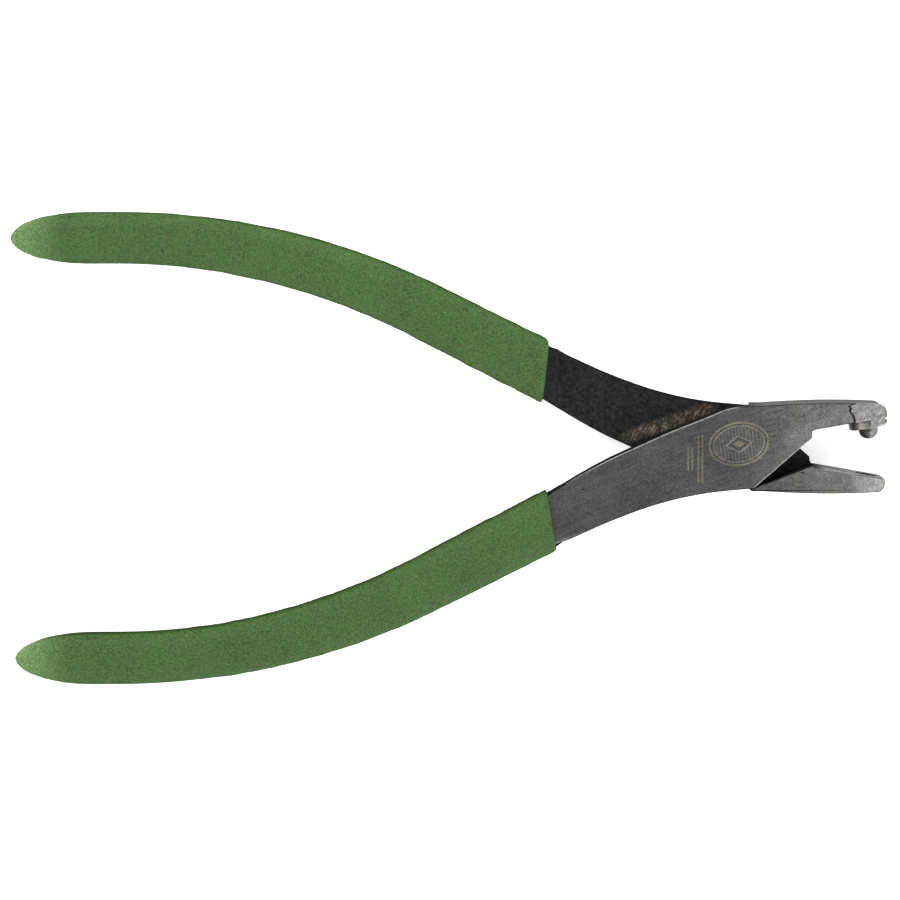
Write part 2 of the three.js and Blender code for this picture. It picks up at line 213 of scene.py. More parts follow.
class Shader:
    """A Principled material and short calls for the nodes that feed it."""

    def __init__(self, name):
        self.material = bpy.data.materials.new(name)
        self.material.use_nodes = True
        self.tree = self.material.node_tree
        self.surface = self.tree.nodes["Principled BSDF"]

    def feed(self, socket, value):
        if isinstance(value, bpy.types.NodeSocket):
            self.tree.links.new(value, socket)
        else:
            socket.default_value = value

    def node(self, kind, **settings):
        made = self.tree.nodes.new(kind)
        for name, value in settings.items():
            setattr(made, name, value)
        return made

    def math(self, operation, a, b=0.0):
        made = self.node("ShaderNodeMath", operation=operation)
        self.feed(made.inputs[0], a)
        self.feed(made.inputs[1], b)
        return made.outputs[0]

    def add(self, a, b):
        return self.math("ADD", a, b)

    def times(self, a, b):
        return self.math("MULTIPLY", a, b)

    def less(self, a, b):
        return self.math("SUBTRACT", a, b)

    def either(self, a, b):
        return self.math("MAXIMUM", a, b)

    def size(self, a):
        return self.math("ABSOLUTE", a)

    def vary(self, value, pattern, amount):
        """The value, moved up or down by as much as the pattern is over or under a half."""
        return self.add(value, self.times(self.less(pattern, 0.5), amount))

    def darken(self, tone, mask, amount):
        """The tone, less a share of itself where the mask is 1."""
        return self.times(tone, self.less(1.0, self.times(mask, amount)))

    def ramp(self, value, low, high, start=0.0, end=1.0):
        """Smoothly from start to end as the value runs from low to high."""
        made = self.node("ShaderNodeMapRange", interpolation_type="SMOOTHSTEP")
        self.feed(made.inputs["Value"], value)
        made.inputs["From Min"].default_value = low
        made.inputs["From Max"].default_value = high
        made.inputs["To Min"].default_value = start
        made.inputs["To Max"].default_value = end
        return made.outputs["Result"]

    def line(self, value, middle, half_width):
        """1 where the value is within half a width of the middle, with soft edges."""
        off = self.size(self.less(value, middle))
        return self.ramp(off, half_width * 0.6, half_width * 1.4, 1.0, 0.0)

    def vector(self, x, y, z=0.0):
        made = self.node("ShaderNodeCombineXYZ")
        for socket, value in zip(made.inputs, (x, y, z)):
            self.feed(socket, value)
        return made.outputs[0]

    def split(self, vector):
        made = self.node("ShaderNodeSeparateXYZ")
        self.feed(made.inputs[0], vector)
        return made.outputs

    def leaning(self, x, y, angle):
        """Distances along and across a line that leans by the angle."""
        along = self.add(self.times(x, math.cos(angle)), self.times(y, math.sin(angle)))
        across = self.less(self.times(y, math.cos(angle)), self.times(x, math.sin(angle)))
        return along, across

    def millimetres(self, side=1):
        """Place on the piece at rest, in millimetres from the rivet axis, as on the front half."""
        where = self.node("ShaderNodeTexCoord").outputs["Object"]
        moved = self.node("ShaderNodeVectorMath", operation="SUBTRACT")
        self.feed(moved.inputs[0], where)
        moved.inputs[1].default_value = (PIVOT.x, PIVOT.y, MIDDLE)
        scaled = self.node("ShaderNodeVectorMath", operation="MULTIPLY")
        self.feed(scaled.inputs[0], moved.outputs[0])
        scaled.inputs[1].default_value = (1 / MM, side / MM, side / MM)
        return scaled.outputs[0]

    def noise(self, vector, scale, detail, roughness, distortion=0.0):
        made = self.node("ShaderNodeTexNoise")
        self.feed(made.inputs["Vector"], vector)
        made.inputs["Scale"].default_value = scale
        made.inputs["Detail"].default_value = detail
        made.inputs["Roughness"].default_value = roughness
        made.inputs["Distortion"].default_value = distortion
        return made.outputs["Fac"]

    def spots(self, vector, scale, share, size, dimensions="3D"):
        """1 inside a share of scattered round spots; size is the radius in cells."""
        cells = self.node("ShaderNodeTexVoronoi", voronoi_dimensions=dimensions)
        self.feed(cells.inputs["Vector"], vector)
        cells.inputs["Scale"].default_value = scale
        chance = self.split(cells.outputs["Color"])[0]
        inside = self.ramp(cells.outputs["Distance"], size * 0.55, size, 1.0, 0.0)
        return self.times(inside, self.math("GREATER_THAN", chance, 1 - share))

    def mix(self, share, a, b):
        made = self.node("ShaderNodeMix", data_type="RGBA")
        self.feed(made.inputs["Factor"], share)
        colours = [s for s in made.inputs if s.type == "RGBA"]
        for socket, value in zip(colours, (a, b)):
            self.feed(socket, value if isinstance(value, bpy.types.NodeSocket) else (*value, 1.0))
        return next(s for s in made.outputs if s.type == "RGBA")

    def shade(self, colour, brightness):
        """A colour made lighter or darker by a number."""
        made = self.node("ShaderNodeVectorMath", operation="SCALE")
        self.feed(made.inputs[0], colour)
        self.feed(made.inputs["Scale"], brightness)
        return made.outputs[0]

    def bump(self, height, depth):
        """A normal for a height pattern; depth, in millimetres, is what a height of 1 stands for."""
        made = self.node("ShaderNodeBump")
        made.inputs["Strength"].default_value = 1.0
        made.inputs["Distance"].default_value = depth * MM
        self.feed(made.inputs["Height"], height)
        return made.outputs["Normal"]

    def finish(self, colour, roughness, normal=None, **constants):
        self.feed(self.surface.inputs["Base Color"], colour)
        self.feed(self.surface.inputs["Roughness"], roughness)
        if normal is not None:
            self.feed(self.surface.inputs["Normal"], normal)
        for name, value in constants.items():
            self.surface.inputs[name.replace("_", " ")].default_value = value
        return self.material


# Materials; noise and spot scales are per millimetre, and places are in millimetres


LEVER_SLOPE = -0.33
LEVER_CURVE = 0.0026


def steel_flaws(s, x, y, across, blotch, patina):
    """1 in the corrosion pits, which crowd on to the jaw, and in the nicks that follow the brushing."""
    warped = s.vector(s.add(x, s.times(blotch, 5.0)), s.add(y, s.times(patina, 9.0)))
    old_pits = s.spots(warped, 0.42, 0.14, 0.08, "2D")
    large_pits = s.spots(warped, 0.75, 0.22, 0.17, "2D")
    small_pits = s.spots(warped, 1.5, 0.24, 0.19, "2D")
    jaw_pits = s.times(s.either(large_pits, small_pits), s.ramp(x, 6.0, 13.0))
    nicks = s.spots(s.vector(s.times(x, 0.35), s.times(across, 1.8), 2.0), 0.8, 0.10, 0.2)
    nicks = s.times(nicks, s.ramp(x, -2.0, 6.0, 0.5, 1.0))
    return s.either(s.either(old_pits, jaw_pits), nicks)


def ground_steel(name, side, marked):
    """Ground lever face: brushed along its curve, grey with age, pitted and lighter towards the jaw tip."""
    s = Shader(name)
    spot = s.millimetres(side)
    x, y, _ = s.split(spot)
    across = s.add(y, s.add(s.times(x, LEVER_SLOPE), s.times(s.times(x, x), LEVER_CURVE)))
    long_lines = s.noise(s.vector(s.times(x, 0.05), s.times(across, 3.2), side), 1.0, 3.0, 0.6)
    fine_lines = s.noise(s.vector(s.times(x, 0.22), s.times(across, 11.0), side * 3), 1.0, 2.0, 0.6)
    patina = s.noise(spot, 0.16, 3.0, 0.55)
    grain = s.noise(spot, 3.4, 2.0, 0.65)
    blotch = s.noise(spot, 0.9, 3.0, 0.6)
    flaws = steel_flaws(s, x, y, across, blotch, patina)

    # The front jaw lightens evenly; the rear one stays grey and turns bright at its tip
    jaw = s.ramp(x, 0.0, 17.0)
    if side > 0:
        jaw_blotch, jaw_grain = 1.15, 2.1
        level = s.add(0.335, s.times(jaw, 0.30))
    else:
        jaw_blotch, jaw_grain = 0.7, 1.4
        ragged = s.vary(x, patina, 6.0)
        level = s.add(s.ramp(x, 8.5, 21.0, 0.415, 0.635), s.ramp(ragged, 21.0, 27.0, 0.0, 0.80))
    tone = s.vary(1.0, long_lines, 0.85)
    tone = s.vary(tone, fine_lines, 0.85)
    tone = s.vary(tone, patina, 0.5)
    tone = s.vary(tone, blotch, s.ramp(x, 4.0, 18.0, 0.30, jaw_blotch))
    tone = s.vary(tone, grain, s.ramp(x, 4.0, 18.0, 1.9, jaw_grain))
    tone = s.darken(tone, flaws, 0.85)
    cool = s.mix(patina, (0.370, 0.378, 0.390), (0.405, 0.400, 0.385))
    colour = s.shade(s.mix(jaw, cool, (0.412, 0.408, 0.388)), s.times(tone, level))

    height = s.add(s.times(long_lines, 0.5), s.times(fine_lines, 0.35))
    height = s.add(height, s.times(grain, 0.45))
    height = s.less(height, s.times(flaws, 2.2))
    roughness = s.add(0.34, s.times(s.add(fine_lines, patina), 0.10))
    if marked:
        mark = s.times(maker_mark(s, x, y), s.ramp(patina, 0.3, 0.6, 0.6, 1.0))
        colour = s.mix(s.times(mark, 0.62), colour, (0.27, 0.22, 0.125))
        height = s.less(height, s.times(mark, 1.2))
        roughness = s.add(roughness, s.times(mark, 0.12))
    return s.finish(colour, roughness, s.bump(height, 0.022), Metallic=1.0)


BADGE_X = 0.7
BADGE_Y = 0.9
BADGE_LEAN = math.radians(9)
BADGE_HALF_LENGTH = 5.6
BADGE_HALF_HEIGHT = 4.0
RULES_Y = -1.9
RULE_PAIRS = ((-6.6, 4.5), (-8.5, 2.25))
RULE_APART = 0.38
RULE_HALF_WIDTH = 0.15


def maker_mark(s, x, y):
    """A plain etched badge and two pairs of plain rules, with no lettering.

    The badge is an oval ring, reeded inside, round a lozenge. RULE_PAIRS gives x and half length.
    """
    along, up = s.leaning(s.less(x, BADGE_X), s.less(y, BADGE_Y), BADGE_LEAN)
    wide, tall = s.times(along, 1 / BADGE_HALF_LENGTH), s.times(up, 1 / BADGE_HALF_HEIGHT)
    reach = s.math("SQRT", s.add(s.times(wide, wide), s.times(tall, tall)))

    rings = s.either(s.line(reach, 1.0, 0.028), s.line(reach, 0.86, 0.016))
    lozenge = s.add(s.times(s.size(along), 0.62), s.size(up))
    reeds = s.line(s.math("FRACT", s.times(along, 1.55)), 0.5, 0.17)
    reeded = s.times(s.ramp(reach, 0.80, 0.82, 1.0, 0.0), s.ramp(lozenge, 1.75, 1.85))
    mark = s.either(rings, s.times(s.times(reeds, reeded), 0.55))
    mark = s.either(mark, s.either(s.line(lozenge, 1.55, 0.12), s.ramp(lozenge, 0.6, 0.72, 1.0, 0.0)))

    for pair_x, half_length in RULE_PAIRS:
        off_x, off_y = s.size(s.less(x, pair_x)), s.size(s.less(y, RULES_Y))
        length = s.ramp(off_y, half_length - 0.05, half_length, 1.0, 0.0)
        rules = s.times(s.line(off_x, RULE_APART, RULE_HALF_WIDTH), length)
        mark = s.either(mark, s.times(rules, 0.8))
    return mark


def edge_steel(name, side):
    """Arris round the ground faces: dark, greyer on the jaw, rubbed bright by the neck and the stop."""
    neck_slope, stop_x, stop_y, stop_slope = 0.44, 4.0, -7.3, 0.887
    s = Shader(name)
    spot = s.millimetres(side)
    x, y, _ = s.split(spot)
    rub = s.noise(spot, 1.1, 3.0, 0.6)
    neck = s.ramp(s.less(y, s.times(x, neck_slope)), 4.5, 5.5)
    neck = s.times(neck, s.ramp(x, -0.5, 1.5, 1.0, 0.0))
    neck = s.times(neck, s.ramp(x, -33.0, -24.0, 0.3, 1.0))
    off_stop = s.size(s.less(s.less(y, stop_y), s.times(s.less(x, stop_x), stop_slope)))
    stop = s.times(s.ramp(off_stop, 0.9, 1.5, 1.0, 0.0), s.ramp(x, 3.0, 4.5))
    stop = s.times(stop, s.ramp(x, 13.0, 14.5, 1.0, 0.0))
    bright = s.times(s.either(s.times(neck, 0.75), stop), s.ramp(rub, 0.30, 0.50, 0.45, 1.0))
    dark = s.mix(s.ramp(x, 8.0, 12.0), (0.022, 0.022, 0.023), (0.046, 0.046, 0.045))
    colour = s.mix(bright, dark, (0.29, 0.29, 0.28))
    roughness = s.add(0.34, s.times(rub, 0.2))
    return s.finish(colour, roughness, s.bump(rub, 0.02), Specular_IOR_Level=0.0)


def oxide_wall(name, side):
    """Edge walls: black oxide, rubbed back to dull steel on the jaw, black again inside the jaw's bore."""
    s = Shader(name)
    spot = s.millimetres(side)
    x, y, z = s.split(spot)
    mottle = s.noise(spot, 1.4, 4.0, 0.6)
    streak = s.noise(s.vector(s.times(x, 0.15), s.times(y, 0.3), s.times(z, 3.0)), 1.0, 3.0, 0.6)
    back = s.ramp(y, 6.6, 7.6)
    back_worn = s.times(s.times(s.ramp(s.vary(x, mottle, 5.0), 0.0, 6.0), back), 0.42)
    face_worn = s.times(s.ramp(s.vary(x, mottle, 2.0), 14.5, 17.5), s.less(1.0, back))
    face_y = s.add(s.times(x, math.tan(JAW_FACE_ANGLE)), JAW_FACE_OFFSET / math.cos(JAW_FACE_ANGLE))
    depth = s.less(y, face_y)
    bore = s.times(s.ramp(depth, 0.06, 0.12), s.ramp(s.size(s.less(x, PUNCH_X)), 2.6, 3.0, 1.0, 0.0))
    bore = s.times(bore, s.ramp(depth, 2.5, 2.9, 1.0, 0.0))
    worn = s.times(s.either(back_worn, face_worn), s.less(1.0, bore))
    tone = s.vary(s.vary(1.0, streak, 0.9), mottle, 0.7)
    colour = s.shade(s.mix(worn, (0.0085, 0.0085, 0.0095), (0.185, 0.185, 0.176)), tone)
    normal = s.bump(s.add(mottle, s.times(streak, 0.6)), 0.03)
    return s.finish(colour, s.add(0.42, s.times(mottle, 0.25)), normal, Specular_IOR_Level=0.0)


def black_lap():
    """Lap face and neck: black oxide on forged skin, with painted light in the shaded recess, scratched
    bare in one band.
    """
    scratch_angle, band_angle = math.radians(-62), math.radians(-19.3)
    s = Shader("black_lap")
    spot = s.millimetres(-1)
    x, y, _ = s.split(spot)
    mottle = s.noise(spot, 1.5, 5.0, 0.66)
    cloud = s.noise(spot, 0.28, 3.0, 0.5)
    flecks = s.spots(spot, 1.3, 0.2, 0.16)
    tone = s.vary(s.vary(1.0, mottle, 4.6), cloud, 1.2)
    tone = s.either(s.add(tone, s.times(flecks, 0.9)), 0.15)
    # Painted light: the oxide is lightened in the shaded recess towards the jaw
    tone = s.times(tone, s.ramp(x, 3.0, 7.0, 1.0, 2.2))
    base = s.shade(s.mix(cloud, (0.0115, 0.0115, 0.0120), (0.0110, 0.0130, 0.0112)), tone)

    along, across = s.leaning(x, y, scratch_angle)
    scratches = s.noise(s.vector(s.times(along, 0.5), s.times(across, 3.6)), 1.0, 4.0, 0.75, 0.2)
    patches = s.noise(spot, 0.75, 3.0, 0.6)
    from_plate = s.less(s.times(y, -math.cos(band_angle)), s.times(x, math.sin(-band_angle)))
    ragged = s.vary(from_plate, scratches, 2.6)
    band = s.times(s.ramp(ragged, 9.0, 10.2, 1.0, 0.0), s.ramp(ragged, 6.9, 7.8))
    band = s.times(band, s.ramp(x, -22.5, -19.0))
    band = s.times(band, s.ramp(x, -7.0, -1.0, 1.0, 0.0))
    bare = s.times(band, s.ramp(s.vary(scratches, patches, 0.4), 0.46, 0.62))
    brown = s.mix(s.ramp(mottle, 0.3, 0.7), (0.060, 0.043, 0.034), (0.23, 0.185, 0.145))
    stained = s.mix(s.times(band, 0.6), base, (0.044, 0.036, 0.030))
    colour = s.mix(s.times(bare, 0.9), stained, brown)
    height = s.add(s.times(mottle, 0.8), s.times(s.times(band, scratches), 1.6))
    roughness = s.add(0.48, s.times(mottle, 0.22))
    return s.finish(colour, roughness, s.bump(height, 0.06), Specular_IOR_Level=0.08)


def dipped_vinyl(name, side):
    """Dip-coated grip: matte green with a fine stipple, pale and dark flecks, painted shade on its sides,
    paler tip.
    """
    s = Shader(name)
    spot = s.millimetres(side)
    x, y, z = s.split(spot)
    stipple = s.noise(spot, 2.6, 3.0, 0.6)
    pores = s.noise(spot, 6.5, 2.0, 0.5)
    cloud = s.noise(spot, 0.10, 3.0, 0.5)
    pale_flecks = s.spots(spot, 1.15, 0.10, 0.13)
    dark_flecks = s.spots(spot, 0.95, 0.10, 0.15)
    tip = s.ramp(x, -137.0, -126.0, 1.0, 0.0)
    hue = s.ramp(s.noise(s.vector(s.add(x, 40.0), y, z), 3.1, 3.0, 0.65), 0.32, 0.68)
    off_middle = s.size(z)
    tone = s.vary(s.vary(s.vary(1.0, stipple, 2.2), pores, 1.2), cloud, 0.45)
    green = s.mix(hue, (0.056, 0.182, 0.042), (0.118, 0.170, 0.060))
    # Painted shade: the green darkens towards the sides, nearest the middle of the thickness
    green = s.shade(green, s.times(tone, s.ramp(off_middle, 0.8, 2.9, 0.22, 0.49)))
    pale = s.shade(s.mix(hue, (0.240, 0.440, 0.165), (0.290, 0.430, 0.185)), s.times(tone, 0.5))
    colour = s.mix(s.times(tip, 0.8), green, pale)
    colour = s.mix(s.times(pale_flecks, 0.45), colour, (0.23, 0.30, 0.12))
    colour = s.mix(s.times(dark_flecks, 0.45), colour, (0.03, 0.06, 0.02))
    s.feed(s.surface.inputs["Specular IOR Level"], s.ramp(off_middle, 2.2, 4.0, 0.0, 0.16))
    height = s.add(stipple, s.times(pores, 0.45))
    height = s.add(height, s.times(pale_flecks, 0.5))
    return s.finish(colour, s.add(0.52, s.times(stipple, 0.2)), s.bump(height, 0.09))


def rivet_steel():
    """Plain steel, faintly grained and tarnished in patches."""
    s = Shader("rivet_steel")
    spot = s.millimetres()
    tarnish = s.noise(spot, 1.2, 3.0, 0.6)
    grain = s.noise(spot, 7.0, 2.0, 0.6)
    colour = s.mix(s.ramp(tarnish, 0.35, 0.7), (0.30, 0.30, 0.30), (0.19, 0.19, 0.195))
    colour = s.shade(colour, s.vary(1.0, grain, 0.35))
    roughness = s.add(0.34, s.times(tarnish, 0.16))
    return s.finish(colour, roughness, s.bump(s.add(tarnish, grain), 0.02), Metallic=1.0)


def punch_steel():
    """Hard steel, tarnished in patches: bright flange, painted shade on the pilot past the flange's outer
    rim, a painted shadow on the pilot's side away from the jaw tip, and painted shade on the flange's far
    end.
    """
    s = Shader("punch_steel")
    spot = s.millimetres()
    x, y, _ = s.split(spot)
    across, up = s.leaning(s.less(x, PUNCH_X), s.less(y, PUNCH_Y), JAW_FACE_ANGLE)
    out = s.times(up, -1.0)
    tarnish = s.noise(spot, 1.2, 3.0, 0.6)
    grain = s.noise(spot, 5.0, 3.0, 0.65)
    beyond_flange = s.ramp(out, 1.62, 1.9)
    # Painted shadow: a darker crescent on the pilot's side away from the jaw tip
    shadow = s.times(s.ramp(s.vary(across, tarnish, 0.8), -1.2, 0.1, 1.0, 0.0), beyond_flange)
    # Painted shade on the flange's far end, away from the jaw tip
    painted_shade_end = s.ramp(s.vary(across, tarnish, 0.5), -2.3, -1.6, 1.0, 0.0)
    # Painted shade: everything past the flange's outer rim, the pilot, is darkened
    tone = s.times(s.vary(1.0, grain, 1.1), s.ramp(out, 1.42, 1.66, 1.0, 0.42))
    tone = s.darken(tone, s.either(shadow, painted_shade_end), 0.72)
    colour = s.mix(s.ramp(tarnish, 0.35, 0.7), (0.40, 0.385, 0.35), (0.22, 0.21, 0.185))
    roughness = s.add(0.34, s.times(tarnish, 0.16))
    normal = s.bump(s.add(tarnish, grain), 0.03)
    return s.finish(s.shade(colour, tone), roughness, normal, Metallic=1.0)


def braze_steel():
    """Ground braze: blotchy warm grey with small pits, with painted shade on its walls, jaw end, back and
    underside.
    """
    underside_x, underside_slope = 25.8, 0.3
    s = Shader("braze_steel")
    spot = s.millimetres()
    x, y, z = s.split(spot)
    blotch = s.noise(spot, 0.9, 3.0, 0.65)
    grain = s.noise(spot, 3.6, 3.0, 0.65)
    pits = s.either(s.spots(spot, 0.9, 0.35, 0.18), s.spots(spot, 1.9, 0.25, 0.2))
    tone = s.vary(s.vary(1.0, blotch, 1.0), grain, 1.3)
    tone = s.darken(tone, pits, 0.5)
    facet_drop = s.times(s.either(s.less(x, TIP_FACET_START), 0.0), TIP_FACET_SLOPE)
    # Painted shade: darker on the walls below the face, at the jaw end, at the back and on the underside
    tone = s.times(tone, s.ramp(s.add(z, facet_drop), 3.88, 4.12, 0.15, 0.87))
    tone = s.times(tone, s.ramp(x, 28.0, 28.8, 1.0, 0.55))
    tone = s.times(tone, s.ramp(y, 8.2, 8.5, 1.0, 0.6))
    above = s.less(y, s.times(s.less(x, underside_x), underside_slope))
    tone = s.times(tone, s.ramp(above, 3.8, 4.15, 0.45, 1.0))
    colour = s.shade(s.mix(blotch, (0.400, 0.385, 0.385), (0.375, 0.380, 0.335)), tone)
    normal = s.bump(s.less(s.add(blotch, grain), s.times(pits, 1.5)), 0.03)
    return s.finish(colour, s.add(0.40, s.times(blotch, 0.14)), normal, Metallic=1.0)


def backdrop_paper():
    """White paper that glows a little, so that it stays white round the tool."""
    s = Shader("paper")
    s.surface.inputs["Emission Color"].default_value = (1, 1, 1, 1)
    return s.finish((0.93, 0.93, 0.93, 1), 0.9, Specular_IOR_Level=0.1, Emission_Strength=0.6)


# Levers


LEVER_FACE, LEVER_EDGE, LEVER_WALL, LEVER_LAP = range(4)
WELD = 1e-6
FLAT_ANGLE = math.radians(0.3)
SHORTEST_EDGE = 0.3 * MM
ARRIS_ANGLE = math.radians(24)
ARRIS_REACH = 44 * MM
BEVEL = 0.18 * MM
BEVEL_STEPS = 3
BORE_START_X = 14 * MM
LEVEL_ROOM = 0.7 * MM
LEVEL_NORMAL = 0.8
LEVER_CREASE = 40


def surface_kind(face, side):
    """Which of the lever's materials a face takes; a fresh bevel already says LEVER_EDGE."""
    centre = face.calc_center_median()
    up = face.normal.z * side
    inside = abs(centre.z - MIDDLE) < MIDDLE - LEVEL_ROOM
    if face.material_index == LEVER_EDGE:
        outer = THICKNESS if side > 0 else 0.0
        return LEVER_WALL if abs(centre.z - outer) > LEVEL_ROOM else LEVER_EDGE
    if inside and centre.x - PIVOT.x > BORE_START_X:
        return LEVER_WALL
    if up > LEVEL_NORMAL:
        return LEVER_FACE
    if up < -LEVEL_NORMAL:
        return LEVER_LAP if inside else LEVER_FACE
    return LEVER_WALL


def lever(node, side, materials):
    """The CAD forging with its arrises rounded, and a material for each kind of surface."""
    made = copy_of(node, f"{node}_forging")
    for material in materials:
        made.data.materials.append(material)
    bm = bmesh.new()
    bm.from_mesh(made.data)
    bmesh.ops.remove_doubles(bm, verts=bm.verts, dist=WELD)
    bmesh.ops.dissolve_limit(bm, angle_limit=FLAT_ANGLE, verts=bm.verts, edges=bm.edges)
    bmesh.ops.dissolve_degenerate(bm, dist=SHORTEST_EDGE, edges=bm.edges)
    arrises = [e for e in bm.edges if e.is_manifold and e.calc_face_angle_signed() > ARRIS_ANGLE]
    arrises = [e for e in arrises if min(v.co.x for v in e.verts) > PIVOT.x - ARRIS_REACH]
    bmesh.ops.bevel(bm, geom=arrises, offset=BEVEL, offset_type="OFFSET", segments=BEVEL_STEPS,
                    profile=0.5, affect="EDGES", clamp_overlap=False, material=LEVER_EDGE)
    bm.normal_update()
    for face in bm.faces:
        face.material_index = surface_kind(face, side)
    bm.to_mesh(made.data)
    bm.free()
    shade_smooth(made, LEVER_CREASE)
    weighted = made.modifiers.new("flat_faces", "WEIGHTED_NORMAL")
    weighted.keep_sharp = True
    return made


# Grips


GRIP_SIDES = 96
GRIP_RINGS = 330
LIP_RINGS = 8
POCKET_RINGS = 40
LIP_LENGTH = 0.75
SKEW_LENGTH = 30
SKIN_SINK = 0.14
SLOW_WAVES, SLOW_DEPTH = 0.11, 0.07
MIDDLE_WAVES, MIDDLE_DEPTH = 0.38, 0.11
STIPPLE_WAVES, STIPPLE_DEPTH = 1.7, 0.04


def handle_point(u):
    """Point and heading on the handle line, at a station u from where it passes nearest the rivet."""
    along = Vector((-math.cos(HANDLE_ANGLE), -math.sin(HANDLE_ANGLE)))
    point = Vector((along.y, -along.x)) * HANDLE_OFFSET + along * min(u, BEND_START)
    if u <= BEND_START:
        return point, HANDLE_ANGLE
    bend_end = BEND_START + BEND_RADIUS * HANDLE_ANGLE
    angle = HANDLE_ANGLE - min(u - BEND_START, bend_end - BEND_START) / BEND_RADIUS
    point.x -= BEND_RADIUS * (math.sin(HANDLE_ANGLE) - math.sin(angle))
    point.y -= BEND_RADIUS * (math.cos(angle) - math.cos(HANDLE_ANGLE))
    point.x -= max(0, u - bend_end)
    return point, angle


def beside_handle(u, across, up, side):
    point, angle = handle_point(u)
    x = point.x - math.sin(angle) * across
    y = point.y + math.cos(angle) * across
    return place(x, y, up, side)


def bullet(u, end):
    """How much of its full section the bullet tip keeps at a station."""
    t = min(1, max(0, (u - TIP_START) / (end - TIP_START)))
    return (1 - t ** TIP_ROUNDING) ** TIP_POWER + TIP_BLUNTNESS


def section(turn, half_width, half_height, squareness):
    """The point (across, up) at a turn round an oval with squared-off shoulders."""
    circle = (math.cos(turn), math.sin(turn))
    across, up = (math.copysign(abs(c) ** (2 / squareness), c) for c in circle)
    return across * half_width, up * half_height


def grip_outside(u, turn):
    taper = bullet(u, GRIP_END)
    half_width = ramp(u, TANG_START, TIP_START, GRIP_HALF_WIDTH, GRIP_END_HALF_WIDTH) * taper
    half_height = MIDDLE / MM * min(1, taper)
    return section(turn, half_width, half_height, GRIP_SQUARENESS)


def grip_inside(u, turn):
    """The steel's own section, let out by a hair."""
    scale = POCKET_SCALE * bullet(u, GRIP_END - GRIP_END_WALL)
    half_width = ramp(u, NECK_END, TANG_START, NECK_HALF_WIDTH, TANG_HALF_WIDTH) * scale + POCKET_GAP
    half_height = TANG_HALF_HEIGHT * scale + POCKET_GAP
    return section(turn, half_width, half_height, TANG_SQUARENESS)


def grip_lip(u, turn, share):
    inner, outer = grip_inside(u, turn), grip_outside(u, turn)
    return [a + (b - a) * share for a, b in zip(inner, outer)]


def skin_depth(point, side):
    """How far the coat lies under its nominal skin, in millimetres: slow waves and a fine stipple."""
    p = Vector((point.x, point.y, point.z)) / MM
    slow = noise.noise(p * SLOW_WAVES + Vector((side * 7.0, 0, 0)))
    middle = noise.noise(p * MIDDLE_WAVES)
    stipple = noise.noise(p * STIPPLE_WAVES)
    return SKIN_SINK + SLOW_DEPTH * slow + MIDDLE_DEPTH * middle + STIPPLE_DEPTH * stipple


def grip_rings(start):
    """Rings of (station, across, up): up the pocket to its mouth, round the lip and down the skin."""
    turns = [2 * math.pi * i / GRIP_SIDES for i in range(GRIP_SIDES)]
    pocket_end = GRIP_END - GRIP_END_WALL
    skin_start = start + LIP_LENGTH
    rings = []
    for i in range(POCKET_RINGS):
        u = pocket_end + (start - pocket_end) * i / POCKET_RINGS
        rings.append([(u, *grip_inside(u, turn)) for turn in turns])
    for i in range(LIP_RINGS):
        theta = math.pi / 2 * i / LIP_RINGS
        u = start + LIP_LENGTH * (1 - math.cos(theta))
        rings.append([(u, *grip_lip(u, turn, math.sin(theta))) for turn in turns])
    for i in range(GRIP_RINGS + 1):
        u = skin_start + (GRIP_END - skin_start) * (i / GRIP_RINGS)
        rings.append([(u, *grip_outside(u, turn)) for turn in turns])
    return rings


def grip(name, side, front_x, lean, material):
    """Dipped coat: a rounded lip along a leaning dip line, a stippled skin and a bullet tip."""

    def dip_line(across):
        """Station of the dip line at a distance across the handle line."""
        x = front_x - lean * across
        return (-x - (HANDLE_OFFSET + across) * math.sin(HANDLE_ANGLE)) / math.cos(HANDLE_ANGLE)

    start = dip_line(0)

    def station(u, across):
        """Rings start along the slanting dip line and stand square further back."""
        share = 1 - smoothstep(u, start, start + SKEW_LENGTH)
        return u + (dip_line(across) - start) * share

    first_uneven = POCKET_RINGS + LIP_RINGS // 2
    rings = []
    for index, ring in enumerate(grip_rings(start)):
        points = []
        for u, across, up in ring:
            point = beside_handle(station(u, across), across, up, side)
            if index >= first_uneven:
                shrink = 1 - skin_depth(point, side) / max(1.0, math.hypot(across, up))
                point = beside_handle(station(u, across), across * shrink, up * shrink, side)
            points.append(point)
        rings.append(points)
    made = lofted(name, rings, material)
    shade_smooth(made)
    return made


# Turned pieces; a profile is a list of (radius, distance along the axis)


TURNED_SIDES = 96
TURNED_CREASE = 35
END_RADIUS = 0.05
CORNER_STEPS = 3
FILLET_STEPS = 4
DOME_STEPS = 12
PUNCH_LENGTH = 3.935

RIVET_RADIUS = 3.3
RIVET_COVER = 0.95
RIVET_CHAMFER = 0.2
HEAD_RADIUS = 5.12
HEAD_PROFILE = ((END_RADIUS, 0.03), (HEAD_RADIUS - 0.9, 0.02), (HEAD_RADIUS - 0.12, 0.06),
                (HEAD_RADIUS, 0.16), (HEAD_RADIUS, 0.55), (RIVET_RADIUS, 2.25))


def turned(name, profile, matrix, material):
    turns = [2 * math.pi * i / TURNED_SIDES for i in range(TURNED_SIDES)]
    rings = []
    for radius, along in profile:
        circle = [Vector((radius * math.cos(turn), along, radius * math.sin(turn))) for turn in turns]
        rings.append([matrix @ (point * MM) for point in circle])
    made = lofted(name, rings, material)
    shade_smooth(made, TURNED_CREASE)
    return made


def rounded_corner(centre, radius, start, end, steps):
    points = []
    for i in range(steps + 1):
        angle = math.radians(start + (end - start) * i / steps)
        points.append((centre[0] + radius * math.cos(angle), centre[1] + radius * math.sin(angle)))
    return points


